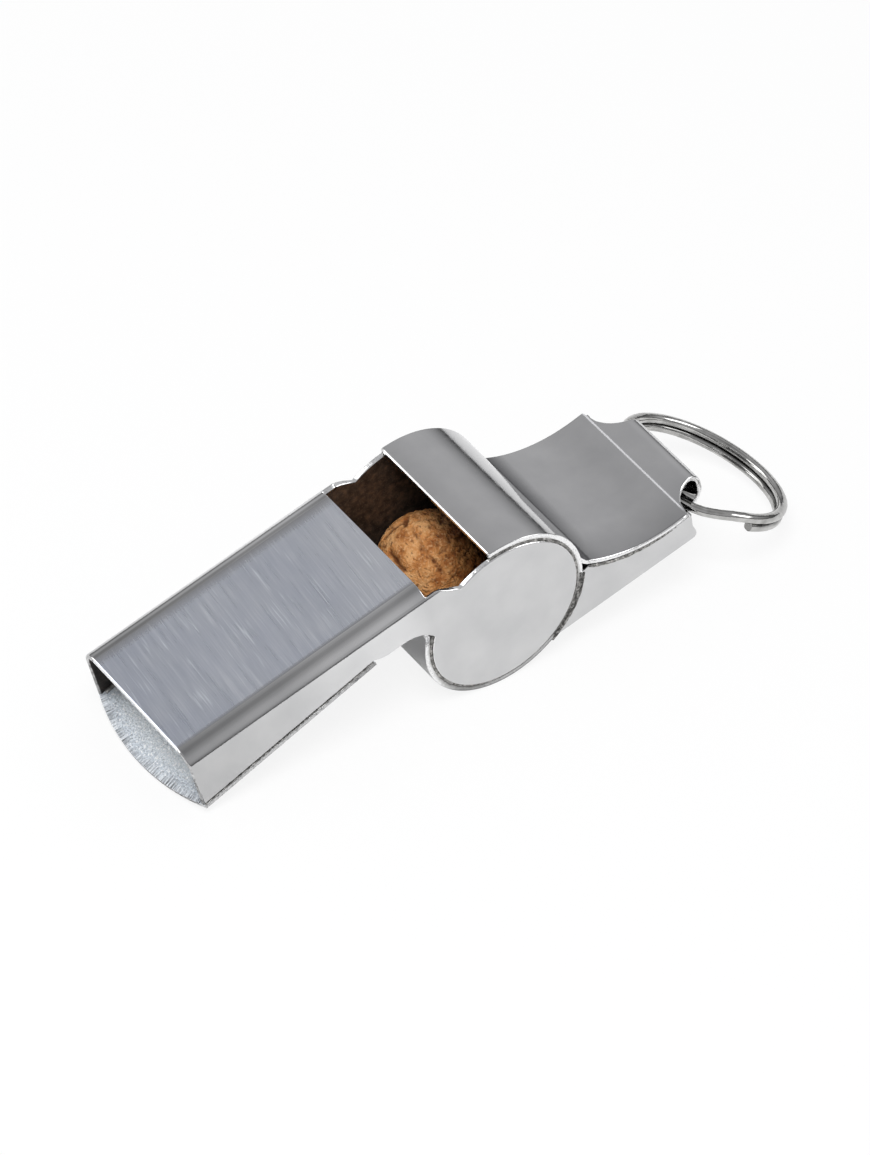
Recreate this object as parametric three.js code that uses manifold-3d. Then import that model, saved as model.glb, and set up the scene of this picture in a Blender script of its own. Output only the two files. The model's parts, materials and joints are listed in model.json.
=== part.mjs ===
// Pea whistle: a brazed sheet-steel mouthpiece and barrel, a cork pea and a split ring.
// Millimetres, +Z up. The whistle is drawn level, with the barrel's axis along Y through the origin,
// the mouth towards -X and the tail towards +X, then tipped onto its lower lip as it lies on a table.
import * as THREE from 'three';
import { mergeVertices } from 'three/addons/utils/BufferGeometryUtils.js';
import Module from 'manifold-3d';

const wasm = await Module();
wasm.setup();

// Sheet and barrel
const SHEET = 0.6; // thickness of every stamping
const FIT = 0.05; // brazing gap between neighbouring stampings
const BARREL_RADIUS = 10; // outside of the strip
const STRIP_WIDTH = 18.9; // rim to rim
const CHEEK_RISE = 0.2; // cheeks stand this far outside the rims
const SEAM_WIDTH = 0.3; // groove between cheek and strip, filled with brazing metal
const SEAM_DIP = 0.1; // brazing metal stops this far inside the rim

// Mouthpiece
const MOUTH_REACH = 37.85; // barrel axis to the mouth's top edge
const MOUTH_DEPTH = 7.85; // top face down to the floor, at the mouth
const TOP_RISE = 1; // top face above the top of the barrel
const BEND_RADIUS = 2.1; // outside of the bends along the top plate
const WINDOW_LENGTH = 7.9; // top plate's rear edge to the splitting edge
const SPLIT_ANGLE = 90; // degrees round the barrel of that edge, where the strip ends
const WINDWAY_EXIT = 1.2; // height of the slit where the air leaves the windway
const FLOOR_SLOPE = 8.7; // degrees, of the wide floor against the top plate
const FLOOR_LENGTH = 22.5; // mouth to the step where the floor narrows
const FOLD_RADIUS = 0.9; // upper side of the fold at the windway's exit
const FOLD_SETBACK = 0.4; // fold ends this far behind the top plate's rear edge
const LIP_BOW = 1.75; // lower lip bulges this far in front of the side plates
const FILLET_LEG = 0.5; // brazing fillets along the windway floor

// Side plates: neck and window edge
const NECK_RISE = 6.05; // level of the neck's lower edge above the barrel axis
const NECK_RADIUS = 4; // hollow curve from the neck down to the cheek
const NECK_ANGLE = 155; // degrees round the barrel where that curve meets the cheek
const STEP_TAB = 0.45; // step in the side plate that stops the wide floor
const NOTCH_ANGLE = 116; // degrees round the barrel of the V in the window's side edge
const SHOULDER_DROP = 1; // shoulder of that edge below the top face
const SHOULDER_LENGTH = 1.5; // shoulder behind the top plate's rear edge

// Tail
const TAIL_WIDTH = 18.5;
const FLANGE_TOP = 3; // degrees above the barrel's axis
const FLANGE_FOOT = 6; // degrees below it
const SCOOP_RADIUS = 16.2;
const CREASE_REACH = 13.2; // barrel's back to the crease
const CREASE_DROP = 4.85; // crease below the barrel axis
const TONGUE_LENGTH = 4.4; // crease to the eye's rear wall
const TONGUE_SLOPE = 7.5; // degrees down to the rear
const TONGUE_WIDTH = 10.6;
const EYE_HEIGHT = 4.5; // outside, at the rear wall
const EYE_TOP_BEND = 1; // outside radius
const EYE_FOOT_BEND = 2; // outside radius
const EYE_FOOT_LENGTH = 3.2; // rear wall to the rise of the bottom plate
const BOTTOM_RISE = 0.75; // bottom plate above the lowest line of the barrel
const BOTTOM_RAMP = 1.6; // length over which it rises
const GUSSET_RECESS = 0.1; // gussets lie this far inside the tail's edges
const GUSSET_OVERRUN = 0.25; // gussets end this far behind the crease
const GUSSET_CORNER = 0.6; // rounding of their lower rear corner
const GUSSET_NOSE = 9; // degrees of the open corner between flange and gusset
const BEAD_SIZE = 0.4; // brazing beads beside the gussets
const BEAD_WIDTH = 0.25;

// Loose pieces
const PEA_DIAMETER = 12.2;
const PEA_GAP = 0.1; // pea to the barrel's wall
const PEA_SIDESTEP = 2.3; // the pea rests this far from the middle
const RING_DIAMETER = 20; // outside
const WIRE_WIDTH = 1; // across the ring
const WIRE_HEIGHT = 0.72; // along the ring's axis
const TURN_GAP = 0.44; // between the two turns
const LOWER_END = -95; // degrees round the ring where the lower turn is cut
const CROSSOVER_START = -140; // the wire leaves the lower turn here
const CROSSOVER_END = -102; // and has climbed to the upper turn here
const PIVOT_INSET = 1.7; // swing axis inside the ring's outer edge
const PIVOT_SETBACK = 2.8; // swing axis in front of the eye's rear wall
const PIVOT_RISE = 2.45; // swing axis above the underside of the eye
const RING_DROOP = 45; // degrees below the top plate's plane
const RING_STEP_COUNT = 24; // sections in a full turn
const RING_SIDE_COUNT = 6; // sides of a section

const PEA_MERIDIAN_COUNT = 32; // facets of the ball
const PEA_PARALLEL_COUNT = 20;
const ARC_STEP = 6; // degrees per facet on round stretches
const FAR = 60; // reach of the cutting blocks

const polished = new THREE.MeshStandardMaterial({ color: 0xc9cacc, roughness: 0.12, metalness: 1 });
const brushed = new THREE.MeshStandardMaterial({ color: 0xa9adb6, roughness: 0.35, metalness: 1 });
const brazing = new THREE.MeshStandardMaterial({ color: 0x5f5d58, roughness: 0.6, metalness: 0.8 });
const cork = new THREE.MeshStandardMaterial({ color: 0xa9713c, roughness: 0.9, metalness: 0 });
const plated = new THREE.MeshStandardMaterial({ color: 0xd5d6d8, roughness: 0.08, metalness: 1 });

const radians = THREE.MathUtils.degToRad;
const degrees = THREE.MathUtils.radToDeg;
const point = (x, z) => new THREE.Vector2(x, z);
const origin = point(0, 0);
const polar = (radius, turn) => point(radius, 0).rotateAround(origin, radians(turn));

// Points along an arc, both ends included.
function arc(centre, radius, from, to) {
  const steps = Math.max(2, Math.ceil(Math.abs(to - from) / ARC_STEP));
  const turns = Array.from({ length: steps + 1 }, (_, i) => from + ((to - from) * i) / steps);
  return turns.map((turn) => polar(radius, turn).add(centre));
}

// Points along a line with corners, each [x, z, radius] rounded where it has a radius.
function rounded(corners) {
  const places = corners.map(([x, z]) => point(x, z));
  return corners.flatMap(([, , radius], i) => {
    const at = places[i];
    if (!radius) return [at];
    const back = places[i - 1].clone().sub(at).normalize();
    const on = places[i + 1].clone().sub(at).normalize();
    const half = Math.acos(back.dot(on)) / 2;
    const middle = back.clone().add(on).normalize();
    const centre = at.clone().addScaledVector(middle, radius / Math.sin(half));
    const start = at.clone().addScaledVector(back, radius / Math.tan(half)).sub(centre);
    const from = degrees(start.angle());
    const sweep = Math.sign(on.cross(back)) * (180 - degrees(2 * half));
    return arc(centre, radius, from, from + sweep);
  });
}

// The same line moved sideways to its right, with mitred corners.
function beside(line, distance) {
  const rights = line.slice(1).map((end, i) => {
    const way = end.clone().sub(line[i]).normalize();
    return point(way.y, -way.x);
  });
  return line.map((at, i) => {
    const first = rights[Math.max(i - 1, 0)];
    const middle = first.clone().add(rights[Math.min(i, rights.length - 1)]).normalize();
    return at.clone().addScaledVector(middle, distance / middle.dot(first));
  });
}

// Outline of a bent sheet: one face follows the line, the body lies to its right.
const sheetOutline = (line) => [...line, ...beside(line, SHEET).reverse()];

function solid(geometry) {
  geometry.deleteAttribute('normal');
  geometry.deleteAttribute('uv');
  const merged = mergeVertices(geometry);
  return new wasm.Manifold(new wasm.Mesh({
    numProp: 3,
    vertProperties: new Float32Array(merged.attributes.position.array),
    triVerts: new Uint32Array(merged.index.array),
  }));
}

const extruded = (outline, depth) =>
  new THREE.ExtrudeGeometry(new THREE.Shape(outline), { depth, bevelEnabled: false });

// Solid across the whistle: an outline in X and Z, between two places along Y.
const across = (outline, low, high) =>
  solid(extruded(outline, high - low).rotateX(Math.PI / 2).translate(0, high, 0));

// Solid along the whistle: an outline in Y and Z, between two places along X.
function lengthwise(outline, low, high) {
  const turn = new THREE.Matrix4().makeBasis(
    new THREE.Vector3(0, 1, 0), new THREE.Vector3(0, 0, 1), new THREE.Vector3(1, 0, 0));
  return solid(extruded(outline, high - low).applyMatrix4(turn).translate(low, 0, 0));
}

// Solid standing upright: an outline in X and Y.
const upright = (outline) => solid(extruded(outline, 2 * FAR).translate(0, 0, -FAR));

// An outline in X and Z between two distances from the middle plane; side is 1 (left) or -1 (right).
const onSide = (side, outline, near, far) =>
  side > 0 ? across(outline, near, far) : across(outline, -far, -near);

// Places that several pieces share
const chamberRadius = BARREL_RADIUS - SHEET;
const cheekRadius = chamberRadius - SEAM_WIDTH;
const seatRadius = BARREL_RADIUS + FIT;
const stripHalf = STRIP_WIDTH / 2;
const coverHalf = stripHalf + CHEEK_RISE;
const innerHalf = coverHalf - SHEET;
const tailHalf = TAIL_WIDTH / 2;
const gussetHalf = tailHalf - GUSSET_RECESS;
const gussetInner = gussetHalf - SHEET;
const topLevel = BARREL_RADIUS + TOP_RISE;
const mouthX = -MOUTH_REACH;
const lipX = mouthX - LIP_BOW;
const windowX = -WINDOW_LENGTH;
const stepX = mouthX + FLOOR_LENGTH;
const floorLevel = (x) => topLevel - MOUTH_DEPTH + (x - mouthX) * Math.tan(radians(FLOOR_SLOPE));
const neckFoot = polar(cheekRadius, NECK_ANGLE);
const neckDrop = NECK_RISE - NECK_RADIUS;
const neckTurn = degrees(Math.asin((neckFoot.y - neckDrop) / NECK_RADIUS));
const neckCentre = neckFoot.clone().sub(polar(NECK_RADIUS, neckTurn));
const crease = point(BARREL_RADIUS + CREASE_REACH, -CREASE_DROP);
const eyeX = crease.x + TONGUE_LENGTH;
const tongueLevel = (x) => crease.y - (x - crease.x) * Math.tan(radians(TONGUE_SLOPE));
const eyeFoot = tongueLevel(eyeX) - EYE_HEIGHT;
const bottomLevel = BOTTOM_RISE - BARREL_RADIUS;
const barrelTurn = (radius) => degrees(Math.asin(Math.max(-1, bottomLevel / radius)));

// Mouthpiece cover: a U bent from one sheet, whose sides run back to form the cheeks.
function mouthpieceCover() {
  const shoulder = topLevel - SHOULDER_DROP;
  const side = [
    point(mouthX, topLevel),
    point(mouthX, floorLevel(mouthX) + FIT),
    point(stepX, floorLevel(stepX) + FIT),
    point(stepX + STEP_TAB, NECK_RISE),
    ...arc(neckCentre, NECK_RADIUS, 90, neckTurn),
    ...arc(origin, cheekRadius, NECK_ANGLE, 360 + NOTCH_ANGLE).slice(1),
    point(windowX + SHOULDER_LENGTH, shoulder),
    point(windowX, shoulder),
    point(windowX, topLevel),
  ];
  const bent = (half, level, radius) => rounded([
    [half, -FAR], [half, level, radius], [-half, level, radius], [-half, -FAR],
  ]);
  const outside = lengthwise(bent(coverHalf, topLevel, BEND_RADIUS), -FAR, FAR);
  const inside = lengthwise(bent(innerHalf, topLevel - SHEET, BEND_RADIUS - SHEET), -FAR, FAR);
  return across(side, -coverHalf, coverHalf).intersect(outside).subtract(inside);
}

// Barrel strip: lower lip, windway floor, fold, neck and barrel in one bent strip.
function barrelStrip() {
  const front = lipX - LIP_BOW;
  const fold = point(windowX + FOLD_SETBACK, topLevel - SHEET - WINDWAY_EXIT);
  const tangent = degrees(fold.angle() + Math.acos(chamberRadius / fold.length()));
  const leaving = polar(chamberRadius, tangent);
  const floorLine = rounded([
    [front, floorLevel(front)],
    [stepX, floorLevel(stepX)],
    [fold.x, fold.y, FOLD_RADIUS],
    [leaving.x, leaving.y],
  ]);
  const line = [...floorLine.slice(0, -1), ...arc(origin, chamberRadius, tangent, 360 + SPLIT_ANGLE)];

  const bowRadius = (stripHalf ** 2 + LIP_BOW ** 2) / (2 * LIP_BOW);
  const bowEnd = degrees(Math.asin(stripHalf / bowRadius));
  const lipCut = upright([
    ...arc(point(lipX + bowRadius, 0), bowRadius, 180 - bowEnd, 180 + bowEnd),
    point(-FAR, -FAR),
    point(-FAR, FAR),
  ]);
  const neckCut = [
    polar(cheekRadius - SEAM_WIDTH, NECK_ANGLE),
    ...arc(neckCentre, NECK_RADIUS - FIT, neckTurn, 90),
    point(stepX - FIT, NECK_RISE - FIT),
    point(stepX - FIT, FAR),
    point(windowX / 2, FAR),
  ];
  return [1, -1].reduce(
    (strip, side) => strip.subtract(onSide(side, neckCut, innerHalf - FIT, FAR)),
    across(sheetOutline(line), -stripHalf, stripHalf).subtract(lipCut));
}

// Brazing metal in the groove round a cheek.
function cheekSeam(side) {
  const groove = [
    ...arc(origin, chamberRadius - FIT, NECK_ANGLE, 360 + SPLIT_ANGLE),
    ...arc(origin, cheekRadius + FIT, 360 + SPLIT_ANGLE, NECK_ANGLE),
  ];
  return onSide(side, groove, innerHalf, stripHalf - SEAM_DIP);
}

// Brazing fillet in the corner between the wide floor and a side plate.
function floorSeam(side) {
  const front = mouthX + FILLET_LEG;
  const length = stepX - FILLET_LEG - front;
  const wall = innerHalf - FIT;
  const rise = length * Math.tan(radians(FLOOR_SLOPE));
  const section = [point(wall, 0), point(wall - FILLET_LEG, 0), point(wall, FILLET_LEG)];
  const ends = [0, 1].flatMap((end) => section.map((at) =>
    [front + end * length, side * at.x, floorLevel(front) + FIT + end * rise + at.y]));
  const faces = [0, 1, 2, 3, 5, 4, 0, 3, 1, 1, 3, 4, 1, 4, 2, 2, 4, 5, 2, 5, 0, 0, 5, 3];
  return new wasm.Manifold(new wasm.Mesh({
    numProp: 3,
    vertProperties: new Float32Array(ends.flat()),
    triVerts: new Uint32Array(side > 0 ? faces : faces.reverse()),
  }));
}

// Upper face of the scoop, from the flange's foot to the crease.
function scoopLine() {
  const start = polar(seatRadius + SHEET, -FLANGE_FOOT);
  const chord = crease.clone().sub(start);
  const up = point(-chord.y, chord.x).normalize();
  const rise = Math.sqrt(SCOOP_RADIUS ** 2 - chord.lengthSq() / 4);
  const centre = start.clone().add(crease).multiplyScalar(0.5).addScaledVector(up, rise);
  const turn = (at) => degrees(at.clone().sub(centre).angle());
  return arc(centre, SCOOP_RADIUS, turn(start), turn(crease));
}

// Tail strip: flange, scoop, crease, tongue, eye and bottom plate in one bent strip.
function tailStrip() {
  const footX = eyeX - EYE_FOOT_LENGTH;
  const bottomInside = bottomLevel + SHEET;
  const barrelX = Math.sqrt(Math.max(0, seatRadius ** 2 - bottomInside ** 2)) + FIT;
  const line = [
    ...arc(origin, seatRadius + SHEET, FLANGE_TOP, -FLANGE_FOOT),
    ...scoopLine().slice(1, -1),
    ...rounded([
      [crease.x, crease.y],
      [eyeX, tongueLevel(eyeX), EYE_TOP_BEND],
      [eyeX, eyeFoot, EYE_FOOT_BEND],
      [footX, eyeFoot],
      [footX - BOTTOM_RAMP, bottomLevel],
      [barrelX, bottomLevel],
    ]),
  ];
  const tongueHalf = TONGUE_WIDTH / 2;
  const notchRadius = tailHalf - tongueHalf;
  const notchX = crease.x + notchRadius;
  const besideTongue = (side) => upright([
    ...arc(point(notchX, side * tailHalf), notchRadius, 180, 180 + side * 90),
    point(FAR, side * tongueHalf),
    point(FAR, side * FAR),
    point(crease.x, side * FAR),
  ]);
  const besideBottom = [
    point(0, -FAR),
    point(FAR, -FAR),
    point(FAR, tongueLevel(eyeX) - EYE_TOP_BEND),
    point(0, tongueLevel(eyeX) - EYE_TOP_BEND),
  ];
  return [1, -1].reduce(
    (strip, side) => strip.subtract(besideTongue(side))
      .subtract(onSide(side, besideBottom, gussetInner - FIT, FAR)),
    across(sheetOutline(line), -tailHalf, tailHalf));
}

// Gusset that closes one side of the tail.
function tailSide(side) {
  const rearX = crease.x + GUSSET_OVERRUN;
  const under = beside([...scoopLine(), point(rearX, tongueLevel(rearX))], SHEET + FIT);
  const nose = -FLANGE_FOOT - GUSSET_NOSE;
  const noseX = polar(seatRadius + SHEET, nose).x;
  const outline = [
    ...arc(origin, seatRadius, barrelTurn(seatRadius), nose),
    ...under.filter((at) => at.x > noseX + SHEET).slice(0, -1),
    ...rounded([
      [rearX, under.at(-1).y], [rearX, bottomLevel, GUSSET_CORNER], [0, bottomLevel],
    ]).slice(0, -1),
  ];
  return onSide(side, outline, gussetInner, gussetHalf);
}

// Brazing bead where a gusset meets the barrel.
function tailSeam(side) {
  const top = -FLANGE_FOOT - GUSSET_NOSE;
  const bottom = barrelTurn(seatRadius + BEAD_SIZE);
  const bead = [
    ...arc(origin, seatRadius, bottom, top),
    ...arc(origin, seatRadius + BEAD_SIZE, top, bottom),
  ];
  return onSide(side, bead, gussetHalf + FIT, gussetHalf + FIT + BEAD_WIDTH);
}

// Cork pea, lying at the lowest place of the barrel once the whistle is tipped.
function pea(tip) {
  const ball = new THREE.SphereGeometry(PEA_DIAMETER / 2, PEA_MERIDIAN_COUNT, PEA_PARALLEL_COUNT);
  const orbit = chamberRadius - PEA_GAP - PEA_DIAMETER / 2;
  const rest = polar(orbit, -90 - tip);
  return solid(ball.translate(rest.x, PEA_SIDESTEP, rest.y));
}

// Split ring: one wire wound nearly twice, climbing from the lower turn to the upper in the crossover.
function splitRing() {
  const pitch = WIRE_HEIGHT + TURN_GAP;
  const radius = (RING_DIAMETER - WIRE_WIDTH) / 2;
  const step = 360 / RING_STEP_COUNT;
  const climbStart = CROSSOVER_START + 360;
  const climbEnd = CROSSOVER_END + 360;
  const count = Math.round((CROSSOVER_START + 720 - LOWER_END) / step);
  const corners = Array.from({ length: RING_SIDE_COUNT }, (_, i) => polar(1, (360 / RING_SIDE_COUNT) * i));
  const tallest = Math.max(...corners.map((at) => at.y));
  const vertices = Array.from({ length: count + 1 }, (_, i) => LOWER_END + i * step).flatMap((turn) => {
    const level = (THREE.MathUtils.smoothstep(turn, climbStart, climbEnd) - 0.5) * pitch;
    return corners.map((at) => {
      const place = polar(radius + (at.x * WIRE_WIDTH) / 2, turn);
      return [place.x, place.y, level + ((at.y / tallest) * WIRE_HEIGHT) / 2];
    });
  });
  const faces = [];
  for (let i = 0; i < count; i += 1) {
    for (let j = 0; j < RING_SIDE_COUNT; j += 1) {
      const a = i * RING_SIDE_COUNT + j;
      const b = i * RING_SIDE_COUNT + ((j + 1) % RING_SIDE_COUNT);
      faces.push(a, a + RING_SIDE_COUNT, b, b, a + RING_SIDE_COUNT, b + RING_SIDE_COUNT);
    }
  }
  for (let j = 1; j < RING_SIDE_COUNT - 1; j += 1) {
    faces.push(0, j, j + 1);
    faces.push(count * RING_SIDE_COUNT, count * RING_SIDE_COUNT + j + 1, count * RING_SIDE_COUNT + j);
  }
  console.log('split_ring least gap to itself, mm:', leastGap(vertices).toFixed(3));

  const pivot = point(eyeX - PIVOT_SETBACK, eyeFoot + PIVOT_RISE);
  const centre = polar(RING_DIAMETER / 2 - PIVOT_INSET, -RING_DROOP).add(pivot);
  const geometry = new THREE.BufferGeometry();
  geometry.setAttribute('position', new THREE.Float32BufferAttribute(vertices.flat(), 3));
  geometry.setIndex(faces);
  return solid(geometry.rotateY(radians(RING_DROOP)).translate(centre.x, 0, centre.y));
}

// Least distance between points of the wire that lie more than half a turn apart along it.
function leastGap(vertices) {
  const apart = (RING_STEP_COUNT / 2) * RING_SIDE_COUNT;
  let least = Infinity;
  vertices.forEach((a, i) => vertices.slice(i + apart).forEach((b) => {
    least = Math.min(least, Math.hypot(a[0] - b[0], a[1] - b[1], a[2] - b[2]));
  }));
  return least;
}

function piece(name, body, material) {
  const { vertProperties, triVerts } = body.getMesh();
  const geometry = new THREE.BufferGeometry();
  geometry.setAttribute('position', new THREE.BufferAttribute(vertProperties, 3));
  geometry.setIndex(new THREE.BufferAttribute(triVerts, 1));
  const mesh = new THREE.Mesh(geometry, material);
  mesh.name = name;
  return mesh;
}

// Tip at which the barrel and the middle of the lower lip both touch the table.
const lip = point(lipX, floorLevel(lipX) - SHEET / Math.cos(radians(FLOOR_SLOPE)));
const tip = degrees(Math.asin(BARREL_RADIUS / lip.length()) + Math.atan(lip.y / -lip.x));

const whistle = new THREE.Group();
whistle.name = 'pea_whistle';
whistle.add(
  piece('mouthpiece_cover', mouthpieceCover(), brushed),
  piece('barrel_strip', barrelStrip(), polished),
  piece('tail_strip', tailStrip(), polished),
  piece('tail_side_left', tailSide(1), polished),
  piece('tail_side_right', tailSide(-1), polished),
  piece('cheek_seam_left', cheekSeam(1), brazing),
  piece('cheek_seam_right', cheekSeam(-1), brazing),
  piece('floor_seam_left', floorSeam(1), brazing),
  piece('floor_seam_right', floorSeam(-1), brazing),
  piece('tail_seam_left', tailSeam(1), brazing),
  piece('tail_seam_right', tailSeam(-1), brazing),
  piece('pea', pea(tip), cork),
  piece('split_ring', splitRing(), plated),
);

// The origin lies on the table under the middle of the whole whistle.
whistle.rotation.y = -radians(tip);
whistle.updateMatrixWorld(true);
const box = new THREE.Box3().setFromObject(whistle, true);
whistle.position.set(-(box.min.x + box.max.x) / 2, -(box.min.y + box.max.y) / 2, -box.min.z);
whistle.updateMatrixWorld(true);

export default whistle;
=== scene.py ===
import json
import math

import bmesh
import bpy
from mathutils import Matrix, Vector, noise


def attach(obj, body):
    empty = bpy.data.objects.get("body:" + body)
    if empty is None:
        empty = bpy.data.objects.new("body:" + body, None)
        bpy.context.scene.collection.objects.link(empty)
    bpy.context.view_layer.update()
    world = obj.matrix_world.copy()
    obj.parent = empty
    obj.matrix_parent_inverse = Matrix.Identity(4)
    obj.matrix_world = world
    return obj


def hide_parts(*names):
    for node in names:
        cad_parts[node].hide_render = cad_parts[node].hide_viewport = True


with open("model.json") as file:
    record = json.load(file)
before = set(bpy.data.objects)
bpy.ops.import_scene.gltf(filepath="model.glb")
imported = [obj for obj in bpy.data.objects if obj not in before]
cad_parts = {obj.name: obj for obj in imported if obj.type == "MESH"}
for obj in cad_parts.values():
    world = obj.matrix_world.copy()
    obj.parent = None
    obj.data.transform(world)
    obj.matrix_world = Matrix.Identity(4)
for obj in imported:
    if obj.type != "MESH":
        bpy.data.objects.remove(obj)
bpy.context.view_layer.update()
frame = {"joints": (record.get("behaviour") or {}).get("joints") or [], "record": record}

# Mouthpiece cover: one stainless stamping, cut flat, folded to a U and brazed over the barrel strip. The top
# plate is brushed crosswise, and the polished sides run back into the round cheeks.
# Sizes are millimetres in the whistle's own frame: barrel axis along Y, mouth towards -X, top plate level.
MM = 0.001
MICRON = 1e-6
SHEET = 0.6
EDGE_ROUNDING = 0.28
ARC_STEP = 3
TOUCHING = 0.01
WELD = 1e-4
CUT_SLACK = 1e-5
TOP_LEVEL = 11
BEND_RADIUS = 2.1
BEND_ROWS = 10
BEND_MARGIN = 0.3
PLATE_ROWS = 6
PLATE_CROWN = 0.08
COVER_HALF = 9.65
MOUTH_X = -37.85
WINDOW_X = -7.9
STEP_X = -15.35
STEP_TAB = 1.1
STEP_ROUNDING = 0.6
FLOOR_AT_MOUTH = 3.15
FLOOR_SLOPE = math.radians(8.7)
BRAZING_GAP = 0.05
NECK_LEVEL = 6.05
NECK_RADIUS = 4
NECK_ANGLE = 155
CHEEK_RADIUS = 9.1
NOTCH_ANGLE = 116
SHOULDER_LEVEL = 10
SHOULDER_LENGTH = 1.5
SHOULDER_ROUNDING = 0.35
CHEEK_START = -4.8
PLATE_SKIN, SIDE_SKIN = range(2)
BRUSH_LEAN = math.radians(5)
SHADED_FAR_SIDE = (5.2, 7.4)
BRIGHT_REAR = (-15, -8)
SHADED_PLATE_FRONT = (MOUTH_X, -27)
SHADED_SIDES_FRONT = (MOUTH_X, -20)
NEAR_BORDER = 0.45
FAR_BORDER = 1.3
NECK_BRIGHTENS = (-26, -11)
NECK_FADES = (-12, -8)
SHADED_WINDWAY = (-24, -12)
MOUTH_WEAR = (MOUTH_X + 0.2, MOUTH_X + 0.6)

joints = {joint["name"]: joint for joint in frame["joints"]}
mounts = {mount["name"]: mount for mount in frame["record"]["mounts"]}
barrel_axis = Vector(joints["pea_orbit"]["pos_m"])
plate_normal = mounts["top_plate"]["axis"]
tip = math.atan2(-plate_normal[0], plate_normal[2])
lying = Matrix.Translation(barrel_axis) @ Matrix.Rotation(-tip, 4, "Y") @ Matrix.Scale(MM, 4)


def on_circle(radius, degrees):
    return radius * math.cos(math.radians(degrees)), radius * math.sin(math.radians(degrees))


def floor_level(x):
    return FLOOR_AT_MOUTH + (x - MOUTH_X) * math.tan(FLOOR_SLOPE)


def pen_line(bm, point, x, z):
    drawn = bmesh.ops.extrude_vert_indiv(bm, verts=[point])["verts"][0]
    drawn.co = (x, point.co.y, z)
    return drawn


def pen_arc(bm, point, x, z, degrees):
    steps = max(2, math.ceil(abs(degrees) / ARC_STEP))
    turn = math.radians(-degrees)
    drawn = bmesh.ops.spin(bm, geom=[point], cent=(x, point.co.y, z), axis=(0, 1, 0), angle=turn, steps=steps)
    return drawn["geom_last"][0]


def everything(bm):
    return bm.verts[:] + bm.edges[:] + bm.faces[:]


def cut_across(bm, geom, place, normal):
    bmesh.ops.bisect_plane(bm, geom=geom, plane_co=place, plane_no=normal, dist=CUT_SLACK)


def round_corners(bm, corners, offset, segments):
    bmesh.ops.bevel(bm, geom=corners, offset=offset, segments=segments, profile=0.5, affect="VERTICES",
                    material=-1)


def new_sheet():
    bm = bmesh.new()
    bm.edges.layers.float.new("bevel_weight_edge")
    return bm


def round_rim(bm, share, chosen=lambda middle: True):
    weight = bm.edges.layers.float["bevel_weight_edge"]
    for edge in bm.edges:
        if edge.is_boundary and chosen((edge.verts[0].co + edge.verts[1].co) / 2):
            edge[weight] = share


def new_piece(name, bm, materials):
    bm.transform(lying)
    mesh = bpy.data.meshes.new(name)
    bm.to_mesh(mesh)
    bm.free()
    mesh.shade_smooth()
    for material in materials:
        mesh.materials.append(material)
    piece = bpy.data.objects.new(name, mesh)
    bpy.context.scene.collection.objects.link(piece)
    return piece


def give_thickness(piece, shell=0, rim=0):
    wall = piece.modifiers.new("wall", "SOLIDIFY")
    wall.thickness = SHEET * MM
    wall.offset = -1
    wall.use_even_offset = True
    wall.use_quality_normals = True
    wall.material_offset = shell
    wall.material_offset_rim = rim


def soften_edges(piece):
    soft = piece.modifiers.new("soft_edges", "BEVEL")
    soft.width = EDGE_ROUNDING * MM
    soft.segments = 5
    soft.use_clamp_overlap = False
    soft.limit_method = "WEIGHT"
    soft.harden_normals = True


def grey(level):
    return (level, level, level)


def new_finish(name, colour, metallic, roughness):
    finish = bpy.data.materials.new(name)
    finish.use_nodes = True
    shader = finish.node_tree.nodes["Principled BSDF"]
    shader.inputs["Base Color"].default_value = (*colour, 1)
    shader.inputs["Metallic"].default_value = metallic
    shader.inputs["Roughness"].default_value = roughness
    return finish


def whistle_place(finish, turn=0.0):
    tree = finish.node_tree
    upright = Matrix.Rotation(turn, 4, "Z") @ Matrix.Rotation(tip, 4, "Y")
    place = tree.nodes.new("ShaderNodeTexCoord")
    turned = tree.nodes.new("ShaderNodeMapping")
    turned.inputs["Location"].default_value = upright @ (-barrel_axis / MM)
    turned.inputs["Rotation"].default_value = (0, tip, turn)
    turned.inputs["Scale"].default_value = (1 / MM, 1 / MM, 1 / MM)
    tree.links.new(place.outputs["Object"], turned.inputs["Vector"])
    return turned.outputs["Vector"]


def split(place):
    axes = place.id_data.nodes.new("ShaderNodeSeparateXYZ")
    place.id_data.links.new(place, axes.inputs[0])
    return axes.outputs


def grain(place, per_mm, detail=3.0):
    tree = place.id_data
    stretched = tree.nodes.new("ShaderNodeVectorMath")
    stretched.operation = "MULTIPLY"
    stretched.inputs[1].default_value = per_mm
    pattern = tree.nodes.new("ShaderNodeTexNoise")
    pattern.inputs["Scale"].default_value = 1
    pattern.inputs["Detail"].default_value = detail
    tree.links.new(place, stretched.inputs[0])
    tree.links.new(stretched.outputs[0], pattern.inputs["Vector"])
    return pattern.outputs["Fac"]


def even_grain(place, per_mm, detail=3.0):
    return grain(place, (per_mm, per_mm, per_mm), detail)


def tones(level, *stops):
    tree = level.id_data
    ramp = tree.nodes.new("ShaderNodeValToRGB")
    while len(ramp.color_ramp.elements) < len(stops):
        ramp.color_ramp.elements.new(0.5)
    for element, (position, colour) in zip(ramp.color_ramp.elements, stops):
        element.position = position
        element.color = (*colour, 1)
    tree.links.new(level, ramp.inputs["Fac"])
    return ramp.outputs["Color"]


def spread(level, low, high, start=0.3, end=0.7):
    tree = level.id_data
    between = tree.nodes.new("ShaderNodeMapRange")
    between.inputs["From Min"].default_value = start
    between.inputs["From Max"].default_value = end
    between.inputs["To Min"].default_value = low
    between.inputs["To Max"].default_value = high
    tree.links.new(level, between.inputs["Value"])
    return between.outputs["Result"]


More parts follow.
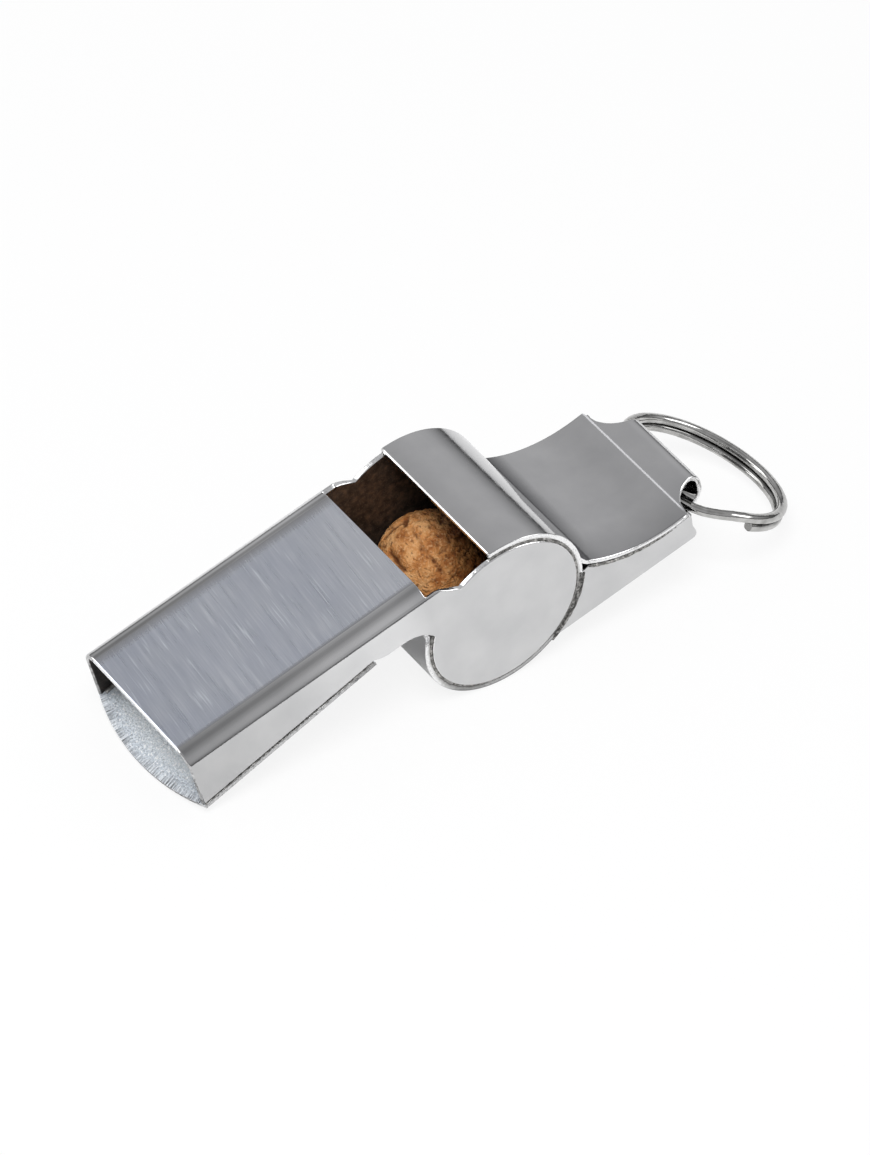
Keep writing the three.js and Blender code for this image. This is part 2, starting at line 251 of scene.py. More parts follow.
def combine(operation, first, second=0.0):
    tree = (second if isinstance(first, (int, float)) else first).id_data
    result = tree.nodes.new("ShaderNodeMath")
    result.operation = operation
    for socket, value in zip(result.inputs, (first, second)):
        if isinstance(value, (int, float)):
            socket.default_value = value
        else:
            tree.links.new(value, socket)
    return result.outputs[0]


def times(first, second):
    return combine("MULTIPLY", first, second)


def plus(first, second):
    return combine("ADD", first, second)


def layer(share, under, over, blend="MIX"):
    tree = share.id_data
    mix = tree.nodes.new("ShaderNodeMix")
    mix.data_type = "RGBA"
    mix.blend_type = blend
    for socket, value in zip((mix.inputs[0], mix.inputs[6], mix.inputs[7]), (share, under, over)):
        if isinstance(value, tuple):
            socket.default_value = (*value, 1)
        else:
            tree.links.new(value, socket)
    return mix.outputs[2]


def paint(colour, roughness=None, metallic=None):
    tree = colour.id_data
    shader = tree.nodes["Principled BSDF"]
    for name, value in (("Base Color", colour), ("Roughness", roughness), ("Metallic", metallic)):
        if value is not None:
            tree.links.new(value, shader.inputs[name])


def relief(height, microns):
    tree = height.id_data
    bump = tree.nodes.new("ShaderNodeBump")
    bump.inputs["Distance"].default_value = microns * MICRON
    tree.links.new(height, bump.inputs["Height"])
    tree.links.new(bump.outputs["Normal"], tree.nodes["Principled BSDF"].inputs["Normal"])


def polished(name):
    finish = new_finish(name, (0.61, 0.61, 0.612), 1, 0.1)
    place = whistle_place(finish)
    clouds = even_grain(place, 0.22)
    smears = grain(place, (1.1, 1.3, 1.2), 5)
    hairlines = grain(place, (0.9, 14, 14), 2)
    polish = tones(clouds, (0.3, (0.575, 0.577, 0.58)), (0.7, grey(0.645)))
    shine = layer(spread(hairlines, 0.0, 0.4, 0.68, 0.76), polish, grey(0.76))
    paint(shine, spread(smears, 0.06, 0.15))
    relief(clouds, 22)
    return finish, place, shine


def nicked(name, colour, roughness, per_mm, stops, shine, microns):
    finish = new_finish(name, colour, 1, roughness)
    place = whistle_place(finish)
    nicks = even_grain(place, per_mm, 5)
    edge_tone = tones(nicks, *stops)
    paint(edge_tone, spread(nicks, *shine))
    relief(nicks, microns)
    return finish, place, edge_tone


def tumbled(name):
    stops = ((0.3, grey(0.6)), (0.45, grey(0.88)), (0.7, grey(0.95)))
    return nicked(name, grey(0.86), 0.16, 3.2, stops, shine=(0.26, 0.1), microns=30)


bend_level = TOP_LEVEL - BEND_RADIUS
bend_length = BEND_RADIUS * math.pi / 2
flat_half = COVER_HALF - BEND_RADIUS
blank_top = bend_level + bend_length + flat_half
blank_shoulder = bend_level + BEND_RADIUS * math.asin((SHOULDER_LEVEL - bend_level) / BEND_RADIUS)
neck_foot = on_circle(CHEEK_RADIUS, NECK_ANGLE)
neck_turn = math.degrees(math.asin((neck_foot[1] - NECK_LEVEL + NECK_RADIUS) / NECK_RADIUS))
neck_x = neck_foot[0] - on_circle(NECK_RADIUS, neck_turn)[0]

brushed_steel = new_finish("brushed_steel", (0.66, 0.69, 0.75), 1, 0.3)
place = whistle_place(brushed_steel, BRUSH_LEAN)
hairlines = grain(place, (9, 0.2, 1))
bands = grain(place, (1.7, 0.08, 1))
scratches = grain(place, (5, 0.22, 1), 1)
clouds = grain(place, (0.16, 0.22, 1), 4)
worked = grain(place, (0.3, 0.16, 1), 2)
streaks = plus(times(hairlines, 0.55), times(bands, 0.45))
brushed = tones(streaks, (0.34, (0.615, 0.645, 0.71)), (0.5, (0.67, 0.7, 0.765)), (0.66, (0.79, 0.81, 0.86)))
clouded = layer(spread(clouds, 0.0, 0.5), brushed, (0.58, 0.615, 0.71))
scratch_share = times(spread(scratches, 0.0, 0.9, 0.6, 0.72), spread(worked, 0.1, 1.0, 0.42, 0.6))
scratched = layer(scratch_share, clouded, (0.9, 0.94, 1.0))
leaning = split(place)
# Painted shade: the top plate darkens towards its far side.
far_shade = spread(leaning["Y"], 0.0, 1.0, *SHADED_FAR_SIDE)
shaded = layer(far_shade, scratched, (0.76, 0.75, 0.74), "MULTIPLY")
# Painted light lightens the top plate towards the rear, and painted shade darkens it towards the mouth.
bright_rear = spread(leaning["X"], 0.0, 0.35, *BRIGHT_REAR)
bright = layer(bright_rear, shaded, (0.9, 0.91, 0.93))
square = split(whistle_place(brushed_steel))
front_shade = spread(square["X"], 0.8, 0.0, *SHADED_PLATE_FRONT)
shade_painted = layer(front_shade, bright, (0.86, 0.87, 0.89), "MULTIPLY")
# Painted shade: dark bands run along both bends of the top plate.
at_far_bend = spread(square["Y"], 0.0, 0.85, flat_half - FAR_BORDER, flat_half)
far_bordered = layer(at_far_bend, shade_painted, (0.5, 0.5, 0.505))
at_near_bend = spread(square["Y"], 0.9, 0.0, -flat_half, NEAR_BORDER - flat_half)
bordered = layer(at_near_bend, far_bordered, (0.42, 0.42, 0.425))
bend_polish = spread(combine("MAXIMUM", at_near_bend, at_far_bend), 1.0, 0.4, 0, 1)
paint(bordered, times(spread(streaks, 0.24, 0.4), bend_polish))
relief(streaks, 5)

polished_steel = polished("polished_steel")[0]

side_steel, place, shine = polished("polished_sides")
along = split(place)["X"]
# Painted shade darkens the sides towards the mouth, and painted light brightens them over the neck.
front_shade = spread(along, 1.0, 0.0, *SHADED_SIDES_FRONT)
shade_painted = layer(front_shade, shine, grey(0.83), "MULTIPLY")
bright_neck = times(spread(along, 0.0, 0.45, *NECK_BRIGHTENS), spread(along, 1.0, 0.0, *NECK_FADES))
paint(layer(bright_neck, shade_painted, grey(0.9)))

tinted_steel = new_finish("heat_tinted_steel", (0.1, 0.075, 0.06), 0.55, 0.5)
place = whistle_place(tinted_steel)
scale_spots = even_grain(place, 1.4, 6)
dust = even_grain(place, 6, 4)
tint = tones(scale_spots, (0.35, (0.045, 0.033, 0.026)), (0.55, (0.1, 0.073, 0.056)),
             (0.75, (0.2, 0.135, 0.09)))
dusty = layer(spread(dust, 0.0, 0.6, 0.55, 0.72), tint, (0.32, 0.25, 0.2))
# Painted shade darkens the inside of the windway.
windway_shade = spread(split(place)["X"], 1.0, 0.0, *SHADED_WINDWAY)
paint(layer(windway_shade, dusty, (0.35, 0.4, 0.45), "MULTIPLY"), spread(dust, 0.35, 0.65))
relief(dust, 12)

tumbled_edge = tumbled("tumbled_edge")[0]

mouth_edge, place, edge_tone = tumbled("worn_mouth_edge")
at_mouth = spread(split(place)["X"], 0.85, 0.0, *MOUTH_WEAR)
lumps = even_grain(place, 2.5, 4)
lumpy_tone = tones(lumps, (0.36, grey(0.1)), (0.5, grey(0.36)), (0.64, grey(0.62)))
paint(layer(at_mouth, edge_tone, lumpy_tone))

bm = new_sheet()
start = bm.verts.new((WINDOW_X, COVER_HALF, blank_top))
point = pen_line(bm, start, MOUTH_X, blank_top)
point = pen_line(bm, point, MOUTH_X, floor_level(MOUTH_X) + BRAZING_GAP)
point = pen_line(bm, point, STEP_X, floor_level(STEP_X) + BRAZING_GAP)
step_corner = pen_line(bm, point, STEP_X + STEP_TAB, NECK_LEVEL)
point = pen_line(bm, step_corner, neck_x, NECK_LEVEL)
point = pen_arc(bm, point, neck_x, NECK_LEVEL - NECK_RADIUS, neck_turn - 90)
point = pen_arc(bm, point, 0, 0, 360 + NOTCH_ANGLE - NECK_ANGLE)
shoulder_start = pen_line(bm, point, WINDOW_X + SHOULDER_LENGTH, blank_shoulder)
shoulder_end = pen_line(bm, shoulder_start, WINDOW_X, blank_shoulder)
bm.edges.new((shoulder_end, start))
bmesh.ops.contextual_create(bm, geom=bm.edges[:])
round_corners(bm, [shoulder_start, shoulder_end], SHOULDER_ROUNDING, segments=5)
round_corners(bm, [step_corner], STEP_ROUNDING, segments=6)
cut_across(bm, everything(bm), (CHEEK_START, 0, 0), (1, 0, 0))
bend_cuts = [bend_level + bend_length * row / BEND_ROWS for row in range(BEND_ROWS + 1)]
plate_cuts = [bend_level + bend_length + flat_half * row / PLATE_ROWS for row in range(1, PLATE_ROWS)]
for cut in [bend_level - BEND_MARGIN] + bend_cuts + plate_cuts:
    front = [face for face in bm.faces if face.calc_center_bounds().x < CHEEK_START]
    front += list({edge for face in front for edge in face.edges} | {v for face in front for v in face.verts})
    cut_across(bm, front, (0, 0, cut), (0, 0, 1))
for face in bm.faces:
    on_plate = face.calc_center_median().z > bend_level + bend_length
    face.material_index = PLATE_SKIN if on_plate else SIDE_SKIN
for v in bm.verts:
    past = v.co.z - bend_level
    if past > 0 and v.co.x < CHEEK_START:
        turn = min(past / BEND_RADIUS, math.pi / 2)
        v.co.y = flat_half + BEND_RADIUS * math.cos(turn) - (past - turn * BEND_RADIUS)
        v.co.z = bend_level + BEND_RADIUS * math.sin(turn)
        v.co.z -= PLATE_CROWN * math.sin(turn) * min(1, (v.co.y / flat_half) ** 2)
bmesh.ops.mirror(bm, geom=everything(bm), axis="Y", merge_dist=WELD)
bmesh.ops.remove_doubles(bm, verts=bm.verts[:], dist=WELD)
bmesh.ops.recalc_face_normals(bm, faces=bm.faces[:])
round_rim(bm, share=0.5)
round_rim(bm, share=1, chosen=lambda middle: middle.x < MOUTH_X + TOUCHING)
cover_skins = [brushed_steel, side_steel, tinted_steel, tinted_steel, tumbled_edge, mouth_edge]
cover = new_piece("cover", bm, cover_skins)
give_thickness(cover, shell=2, rim=4)
soften_edges(cover)
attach(cover, "whistle")
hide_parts("mouthpiece_cover")

# Barrel strip: one long stainless strip, bent round the barrel from the sharp lip behind the window, narrowed
# to a neck between the side plates, folded forward as the windway floor and cut in a bow at the lower lip.
# The floor is rough from the shears, the chamber darkened by the brazing heat, and the outside polished.
BARREL_RADIUS = 9.985
CHAMBER_RADIUS = BARREL_RADIUS - SHEET
STRIP_HALF = 9.45
LEDGE_HALF = 9.76
NARROW_HALF = 8.95
RIM_START_LEVEL = 4.2
SPLIT_ANGLE = 90
LEAVE_ANGLE = 168
FOLD_X = -7.5
FOLD_LEVEL = 9.2
FOLD_RADIUS = 0.9
BEHIND_FOLD = FOLD_X + 2
LIP_BOW = 1.75
LIP_CUTS = 24
FLOOR_SKIN, CHAMBER_SKIN, RIM_SKIN, LEDGE_SKIN = range(4)
BURR_LENGTH = 2.2
LIT_FLOOR_DEPTHS = (1, 2.6)
DARK_BAND_WIDTH = (CHAMBER_RADIUS + 0.55, BARREL_RADIUS + 0.75)
UNDERSIDE = (-6.5, -3.5)

bow_radius = (STRIP_HALF ** 2 + LIP_BOW ** 2) / (2 * LIP_BOW)
bow_x = MOUTH_X - LIP_BOW + bow_radius
wide_end = STEP_X - BRAZING_GAP
leaving = on_circle(CHAMBER_RADIUS, LEAVE_ANGLE)
wall_lean = (FOLD_X - leaving[0]) / (FOLD_LEVEL - leaving[1])
into_fold = math.atan2(FOLD_LEVEL - floor_level(STEP_X), FOLD_X - STEP_X)
out_of_fold = math.atan2(leaving[1] - FOLD_LEVEL, leaving[0] - FOLD_X)
fold_setback = FOLD_RADIUS * math.tan((into_fold - out_of_fold) / 2)


def distance(first, second):
    return combine("SQRT", plus(combine("POWER", first, 2), combine("POWER", second, 2)))


rough_floor = new_finish("sheared_floor", (0.76, 0.79, 0.85), 0.3, 0.45)
place = whistle_place(rough_floor)
mottle = even_grain(place, 3.6, 6)
sparkle = even_grain(place, 5)
sides = split(place)
from_bow = combine("SUBTRACT", sides["X"], bow_x)
along_lip = combine("ARCTAN2", sides["Y"], times(from_bow, -1))
reach = distance(from_bow, sides["Y"])
tree = rough_floor.node_tree
lip_place = tree.nodes.new("ShaderNodeCombineXYZ")
tree.links.new(times(along_lip, bow_radius), lip_place.inputs["X"])
tree.links.new(reach, lip_place.inputs["Y"])
burrs = grain(lip_place.outputs[0], (5.5, 0.45, 1), 4)
wander = grain(lip_place.outputs[0], (0.5, 0.01, 1))
ragged = plus(reach, times(wander, BURR_LENGTH))
near_lip = spread(ragged, 0.0, 1.0, bow_radius, bow_radius + 0.5 * BURR_LENGTH)
pale = tones(mottle, (0.3, (0.47, 0.52, 0.58)), (0.5, (0.61, 0.67, 0.735)), (0.72, (0.74, 0.8, 0.85)))
specks = layer(spread(sparkle, 0.85, 0.0, 0.36, 0.41), pale, (0.3, 0.31, 0.33))
sparkling = layer(spread(sparkle, 0.0, 0.95, 0.56, 0.64), specks, (0.98, 0.99, 1.0))
burr_tone = tones(burrs, (0.36, (0.09, 0.095, 0.1)), (0.48, (0.36, 0.38, 0.41)), (0.6, (0.76, 0.79, 0.83)))
# Painted light lightens the floor deeper inside from the lip, where the top plate shades it.
lit_inside = spread(combine("SUBTRACT", bow_radius, reach), 0.0, 0.6, *LIT_FLOOR_DEPTHS)
lightened = layer(lit_inside, sparkling, (0.8, 0.93, 1.0), "SCREEN")
paint(layer(near_lip, lightened, burr_tone), spread(sparkle, 0.6, 0.34))
relief(plus(mottle, burrs), 60)

torn = ((0.35, grey(0.05)), (0.48, (0.2, 0.2, 0.205)), (0.62, (0.6, 0.6, 0.61)))
sheared_edge = nicked("sheared_edge", (0.36, 0.36, 0.37), 0.4, 3.5, torn, shine=(0.55, 0.25), microns=40)[0]
filed = ((0.32, grey(0.2)), (0.4, grey(0.48)), (0.66, grey(0.6)))
filed_edge = nicked("filed_edge", grey(0.55), 0.25, 3, filed, shine=(0.4, 0.18), microns=30)[0]

banded_rim = new_finish("banded_rim", (0.7, 0.7, 0.69), 1, 0.25)
place = whistle_place(banded_rim)
sides = split(place)
band_noise = even_grain(place, 1.6, 5)
pits = even_grain(place, 6)
patches = even_grain(place, 0.14, 2)
# The rim is darker towards its inner edge, in uneven patches; underneath the barrel, painted shade darkens it
# further.
from_axis = distance(sides["X"], sides["Z"])
banding = plus(plus(from_axis, times(band_noise, 0.3)), times(patches, 1.2))
rim_tone = tones(spread(banding, 0.0, 1.0, *DARK_BAND_WIDTH),
                 (0.0, (0.16, 0.155, 0.15)), (0.4, (0.6, 0.6, 0.59)), (0.7, grey(0.94)))
pitted = layer(spread(pits, 0.5, 0.0, 0.34, 0.42), rim_tone, (0.3, 0.295, 0.29))
outwards = spread(from_axis, 0.0, 1.0, CHAMBER_RADIUS, BARREL_RADIUS)
shade = tones(outwards, (0.2, grey(0.6)), (0.55, grey(0.5)), (0.85, grey(0.16)))
underneath = spread(sides["Z"], 1.0, 0.0, *UNDERSIDE)
paint(layer(underneath, pitted, shade, "MULTIPLY"), spread(pits, 0.35, 0.14))
relief(plus(band_noise, pits), 25)


def points_of(geom):
    return [part for part in geom if isinstance(part, bmesh.types.BMVert)]


def widen(bm, width):
    ribbon = bmesh.ops.extrude_edge_only(bm, edges=bm.edges[:])["geom"]
    bmesh.ops.translate(bm, verts=points_of(ribbon), vec=(0, width, 0))


def edges_across(bm, x, z):
    return [edge for edge in bm.edges
            if all(abs(v.co.x - x) + abs(v.co.z - z) < TOUCHING for v in edge.verts)]


def round_bend(bm, x, z, setback, segments):
    bmesh.ops.bevel(bm, geom=edges_across(bm, x, z), offset=setback, segments=segments, profile=0.5,
                    affect="EDGES", material=-1)


def at_full_width(place):
    on_ledge = place.x < wide_end + TOUCHING
    on_barrel = place.z < RIM_START_LEVEL + TOUCHING or place.x > BEHIND_FOLD
    return on_ledge or on_barrel


bm = new_sheet()
start = bm.verts.new((MOUTH_X, -NARROW_HALF, FLOOR_AT_MOUTH))
point = pen_line(bm, start, wide_end, floor_level(wide_end))
point = pen_line(bm, point, STEP_X, floor_level(STEP_X))
point = pen_line(bm, point, FOLD_X, FOLD_LEVEL)
point = pen_line(bm, point, leaving[0] + (RIM_START_LEVEL - leaving[1]) * wall_lean, RIM_START_LEVEL)
point = pen_line(bm, point, *leaving)
pen_arc(bm, point, 0, 0, 360 + SPLIT_ANGLE - LEAVE_ANGLE)
widen(bm, 2 * NARROW_HALF)
for face in bm.faces:
    middle = face.calc_center_median()
    on_floor = middle.x < FOLD_X and middle.z > RIM_START_LEVEL
    face.material_index = FLOOR_SKIN if on_floor else CHAMBER_SKIN
for side in (-1, 1):
    borders = [edge for edge in bm.edges
               if all(v.co.y * side > NARROW_HALF - TOUCHING and at_full_width(v.co) for v in edge.verts)]
    rim = bmesh.ops.extrude_edge_only(bm, edges=borders)["geom"]
    for v in points_of(rim):
        v.co.y = side * (LEDGE_HALF if v.co.x < STEP_X else STRIP_HALF)
    for face in rim:
        if isinstance(face, bmesh.types.BMFace):
            face.material_index = LEDGE_SKIN if face.calc_center_median().x < STEP_X else RIM_SKIN
round_bend(bm, FOLD_X, FOLD_LEVEL, fold_setback, segments=16)
lip_edges = [edge for edge in bm.edges if all(abs(v.co.x - MOUTH_X) < TOUCHING for v in edge.verts)]
bmesh.ops.subdivide_edges(bm, edges=lip_edges, cuts=LIP_CUTS)
for v in bm.verts:
    if abs(v.co.x - MOUTH_X) < TOUCHING:
        v.co.x = bow_x - math.sqrt(bow_radius ** 2 - v.co.y ** 2)
        v.co.z = floor_level(v.co.x)
bmesh.ops.recalc_face_normals(bm, faces=bm.faces[:])
if min(bm.faces, key=lambda face: face.calc_center_median().x).normal.z < 0:
    bmesh.ops.reverse_faces(bm, faces=bm.faces[:])
round_rim(bm, share=0.35)
round_rim(bm, share=1, chosen=lambda middle: abs(middle.x) < TOUCHING and middle.z > 0)
strip_skins = [rough_floor, tinted_steel, polished_steel, rough_floor] + [polished_steel] * 4
strip_skins += [sheared_edge, tumbled_edge, banded_rim, filed_edge]
strip = new_piece("strip", bm, strip_skins)
give_thickness(strip, shell=4, rim=8)
soften_edges(strip)
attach(strip, "whistle")
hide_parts("barrel_strip")

# Cheek seams: brazing metal that ran into the groove between each cheek and the barrel strip's rim.
# It froze lumpy and pitted, and only its tops were touched by the polishing wheel.
SEAM_RADIUS = 9.24
SEAM_PLACE = 9.28
SEAM_SIZE = 0.2
SEAM_SIDES = 12
STEPS_PER_SIZE = 1.5
LUMP_LENGTH = 1.6
LUMP_HEIGHT = 0.3
FINE_LUMPS = 2.7
FINE_HEIGHT = 0.5
BRASSY = (1, 0.98, 0.94)


def lumpy(name, dark, middle, light):
    finish = new_finish(name, grey(middle), 1, 0.4)
    place = whistle_place(finish)
    lumps = even_grain(place, 2.4, 5)
    pits = even_grain(place, 5.5)
    levels = ((0.32, dark), (0.5, middle), (0.67, light))
    stops = [(position, tuple(level * share for share in BRASSY)) for position, level in levels]
    pitted = layer(spread(pits, 0.85, 0.0, 0.36, 0.46), tones(lumps, *stops), (0.04, 0.037, 0.035))
    paint(pitted, spread(pits, 0.65, 0.25))
    relief(plus(lumps, pits), 60)
    return finish


def move_all(bm, way):
    bmesh.ops.translate(bm, verts=bm.verts[:], vec=way)


def turn_all(bm, axis, angle):
    bmesh.ops.rotate(bm, verts=bm.verts[:], cent=(0, 0, 0), matrix=Matrix.Rotation(angle, 3, axis))


def roughen(bm, size):
    bmesh.ops.recalc_face_normals(bm, faces=bm.faces[:])
    bm.normal_update()
    depth = size * LUMP_HEIGHT
    for v in bm.verts:
        spot = v.co / (size * LUMP_LENGTH)
        height = noise.noise(spot) + FINE_HEIGHT * noise.noise(spot * FINE_LUMPS)
        v.co += v.normal * height * depth


def curved_bead(size, radius, y, centre, start, end):
    bm = bmesh.new()
    bmesh.ops.create_circle(bm, cap_ends=True, segments=SEAM_SIDES, radius=size)
    move_all(bm, (radius, y, 0))
    turn_all(bm, "Y", math.radians(-start))
    turn = math.radians(start - end)
    steps = math.ceil(abs(turn) * radius / size * STEPS_PER_SIZE)
    bmesh.ops.spin(bm, geom=everything(bm), cent=(0, 0, 0), axis=(0, 1, 0), angle=turn, steps=steps)
    move_all(bm, (centre[0], 0, centre[1]))
    roughen(bm, size)
    return bm


brazing = lumpy("pitted_brazing", 0.13, 0.29, 0.56)
for side, hand in ((1, "left"), (-1, "right")):
    bm = curved_bead(SEAM_SIZE, SEAM_RADIUS, side * SEAM_PLACE, (0, 0), NECK_ANGLE, 360 + SPLIT_ANGLE)
    seam = new_piece("cheek_brazing_" + hand, bm, [brazing])
    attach(seam, "whistle")
    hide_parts("cheek_seam_" + hand)

# Floor seams: brazing fillets in the corners between the windway floor and the side plates, run in from the
# mouth end. Inside they fill the corner; outside a thin uneven line of the same metal lies on the ledge.
FILLET_SIZE = 0.34
FILLET_ENDS = (MOUTH_X + 0.6, STEP_X - 0.5)
LEDGE_BEAD = 0.09
LEDGE_PLACE = 9.66
LEDGE_ENDS = (MOUTH_X + 0.2, STEP_X - 0.2)
INNER_HALF = COVER_HALF - SHEET


def straight_bead(size, y, start, end):
    bm = bmesh.new()
    bmesh.ops.create_circle(bm, cap_ends=True, segments=SEAM_SIDES, radius=size)
    turn_all(bm, "Y", math.radians(90))
    move_all(bm, (start, y, floor_level(start) + BRAZING_GAP))
    run = bmesh.ops.extrude_face_region(bm, geom=everything(bm))["geom"]
    length = end - start
    bmesh.ops.translate(bm, verts=points_of(run), vec=(length, 0, length * math.tan(FLOOR_SLOPE)))
    long_edges = [edge for edge in bm.edges if edge.calc_length() > length]
    bmesh.ops.subdivide_edges(bm, edges=long_edges, cuts=math.ceil(length / size))
    roughen(bm, size)
    return bm


for side, hand in ((1, "left"), (-1, "right")):
    bm = straight_bead(FILLET_SIZE, side * INNER_HALF, *FILLET_ENDS)
    seam = new_piece("floor_brazing_" + hand, bm, [brazing])
    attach(seam, "whistle")
    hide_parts("floor_seam_" + hand)
    bm = straight_bead(LEDGE_BEAD, side * LEDGE_PLACE, *LEDGE_ENDS)
    seam = new_piece("ledge_brazing_" + hand, bm, [brazing])
    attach(seam, "whistle")

# Tail strip: one stainless strip, swept up against the barrel's back and brazed there, with a hollow scoop, a
# crease, a narrowed tongue, an eye bent down at the rear for the ring, and a return along the bottom.
# A painted highlight, partly wear, brightens the crease, and painted shade darkens the corner at the barrel
# and the near side.
TAIL_HALF = 9.25
FLANGE_RADIUS = BARREL_RADIUS + BRAZING_GAP + SHEET
FLANGE_FOOT = 6
FLANGE_CORNER = 0.45
FILLET_RADIUS = 3
SCOOP_RADIUS = 16.2
CREASE = Vector((23.2, -4.85))
TONGUE_HALF = 5.3
TONGUE_SLOPE = math.radians(7.5)
NOTCH_ROWS = range(25, 70, 7)
EYE_X = 27.6
EYE_HEIGHT = 4.5
EYE_TOP_BEND = 1.9
EYE_FOOT_BEND = 2
EYE_FOOT_LENGTH = 3.2
EYE_FOOT_ROWS = (25.3, 24.85)
BOTTOM_LEVEL = -9.25
BOTTOM_RAMP = 1.6
BOTTOM_RAMP_ROWS = (24, 23.6)
BOTTOM_HALF = 8.5
CREASE_GLINT = 0.1
CREASE_FADES = (0.5 - TAIL_HALF, 1.5 - TAIL_HALF)
SHADE_START = BARREL_RADIUS + 0.5
SHADE_LENGTH = 2.2
SHADE_FAR_SIDE = (-TAIL_HALF, 2)
SHADE_NEAR_SIDE = (0.3 - TAIL_HALF, -4.5)
SHADED_CORNER = (BARREL_RADIUS + 0.8, BARREL_RADIUS + 1.15)

notch_radius = TAIL_HALF - TONGUE_HALF
notch_x = CREASE.x + notch_radius
flange_foot = Vector(on_circle(FLANGE_RADIUS, -FLANGE_FOOT))
chord = CREASE - flange_foot
scoop_rise = math.sqrt(SCOOP_RADIUS ** 2 - chord.length_squared / 4)
scoop_centre = (flange_foot + CREASE) / 2 + Vector((-chord.y, chord.x)).normalized() * scoop_rise
crease_turn = math.degrees(math.atan2(CREASE.y - scoop_centre.y, CREASE.x - scoop_centre.x))
fillet_x = BARREL_RADIUS + FILLET_RADIUS
fillet_drop = math.sqrt((SCOOP_RADIUS - FILLET_RADIUS) ** 2 - (scoop_centre.x - fillet_x) ** 2)
fillet_z = scoop_centre.y - fillet_drop
fillet_turn = math.degrees(math.atan2(fillet_z - scoop_centre.y, fillet_x - scoop_centre.x))
bottom_end_x = math.sqrt((BARREL_RADIUS + BRAZING_GAP) ** 2 - (BOTTOM_LEVEL + SHEET) ** 2) + BRAZING_GAP


def tongue_level(x):
    return CREASE.y - (x - CREASE.x) * math.tan(TONGUE_SLOPE)


eye_top = tongue_level(EYE_X)
eye_top_setback = EYE_TOP_BEND * math.tan((math.pi / 2 - TONGUE_SLOPE) / 2)
eye_foot = eye_top - EYE_HEIGHT
foot_x = EYE_X - EYE_FOOT_LENGTH


def tail_half_width(x, z):
    reach = min(max(x - CREASE.x, 0), notch_radius) - notch_radius
    width = TAIL_HALF - math.sqrt(notch_radius ** 2 - reach ** 2)
    return width if z > eye_top - EYE_TOP_BEND else min(width, BOTTOM_HALF)


tail_steel, place, shine = polished("creased_steel")
sides = split(place)
rubs = even_grain(place, 4, 4)
# Painted shade darkens the hollow at the barrel, its corner and the near side.
from_barrel = plus(sides["X"], times(rubs, -0.5))
corner_shade = spread(from_barrel, 1.0, 0.0, SHADE_START, SHADE_START + SHADE_LENGTH)
corner_shade = times(corner_shade, spread(sides["Y"], 0.35, 0.95, *SHADE_FAR_SIDE))
corner_shade = combine("MAXIMUM", corner_shade, spread(from_barrel, 0.97, 0.0, *SHADED_CORNER))
corner_shade = combine("MAXIMUM", corner_shade, spread(sides["Y"], 0.35, 0.0, *SHADE_NEAR_SIDE))
shade_painted = layer(corner_shade, shine, (0.18, 0.18, 0.19))
# A painted highlight, partly wear, runs along the crease: lighter and less metallic.
from_crease = combine("ABSOLUTE", combine("SUBTRACT", sides["X"], CREASE.x))
from_crease = plus(from_crease, times(rubs, CREASE_GLINT))
worn_glint = spread(from_crease, 0.9, 0.0, CREASE_GLINT, CREASE_GLINT * 2)
worn_glint = times(worn_glint, spread(sides["Y"], 0.1, 1.0, *CREASE_FADES))
paint(layer(worn_glint, shade_painted, (0.85, 0.85, 0.87)), metallic=spread(worn_glint, 1.0, 0.5, 0, 0.9))

bm = new_sheet()
point = bm.verts.new((BARREL_RADIUS, -TAIL_HALF, fillet_z))
point = pen_arc(bm, point, fillet_x, fillet_z, fillet_turn + 180)
point = pen_arc(bm, point, *scoop_centre, crease_turn - fillet_turn)
for turn in NOTCH_ROWS:
    x = notch_x - on_circle(notch_radius, turn)[0]
    point = pen_line(bm, point, x, tongue_level(x))
point = pen_line(bm, point, EYE_X, eye_top)
point = pen_line(bm, point, EYE_X, eye_foot)
for x in (*EYE_FOOT_ROWS, foot_x):
    point = pen_line(bm, point, x, eye_foot)
for x in (*BOTTOM_RAMP_ROWS, foot_x - BOTTOM_RAMP):
    point = pen_line(bm, point, x, eye_foot + (foot_x - x) / BOTTOM_RAMP * (BOTTOM_LEVEL - eye_foot))
pen_line(bm, point, bottom_end_x, BOTTOM_LEVEL)
widen(bm, 2 * TAIL_HALF)
round_bend(bm, EYE_X, eye_top, eye_top_setback, segments=12)
round_bend(bm, EYE_X, eye_foot, EYE_FOOT_BEND, segments=12)
for edge in edges_across(bm, *CREASE):
    edge.smooth = False
for v in bm.verts:
    v.co.y = math.copysign(tail_half_width(v.co.x, v.co.z), v.co.y)
flange_corners = [v for v in bm.verts if v.co.z > fillet_z - TOUCHING]
round_corners(bm, flange_corners, FLANGE_CORNER, segments=5)
bmesh.ops.recalc_face_normals(bm, faces=bm.faces[:])
round_rim(bm, share=0.8)
tail = new_piece("tail", bm, [tail_steel, tumbled_edge])
give_thickness(tail, rim=1)
soften_edges(tail)
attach(tail, "whistle")
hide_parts("tail_strip")

# Tail sides: two flat gussets cut from the same sheet, slightly waisted at the rear, set in under the scoop
# and brazed to the barrel. They are polished with the cheeks.
GUSSET_HALF = 9.15
GUSSET_NOSE = 9
GUSSET_REAR = 23.78
GUSSET_TOP_REAR = 23.7
GUSSET_WAIST = (23.55, -7.3)
GUSSET_HEEL = -8.3
GUSSET_CORNER = 0.6

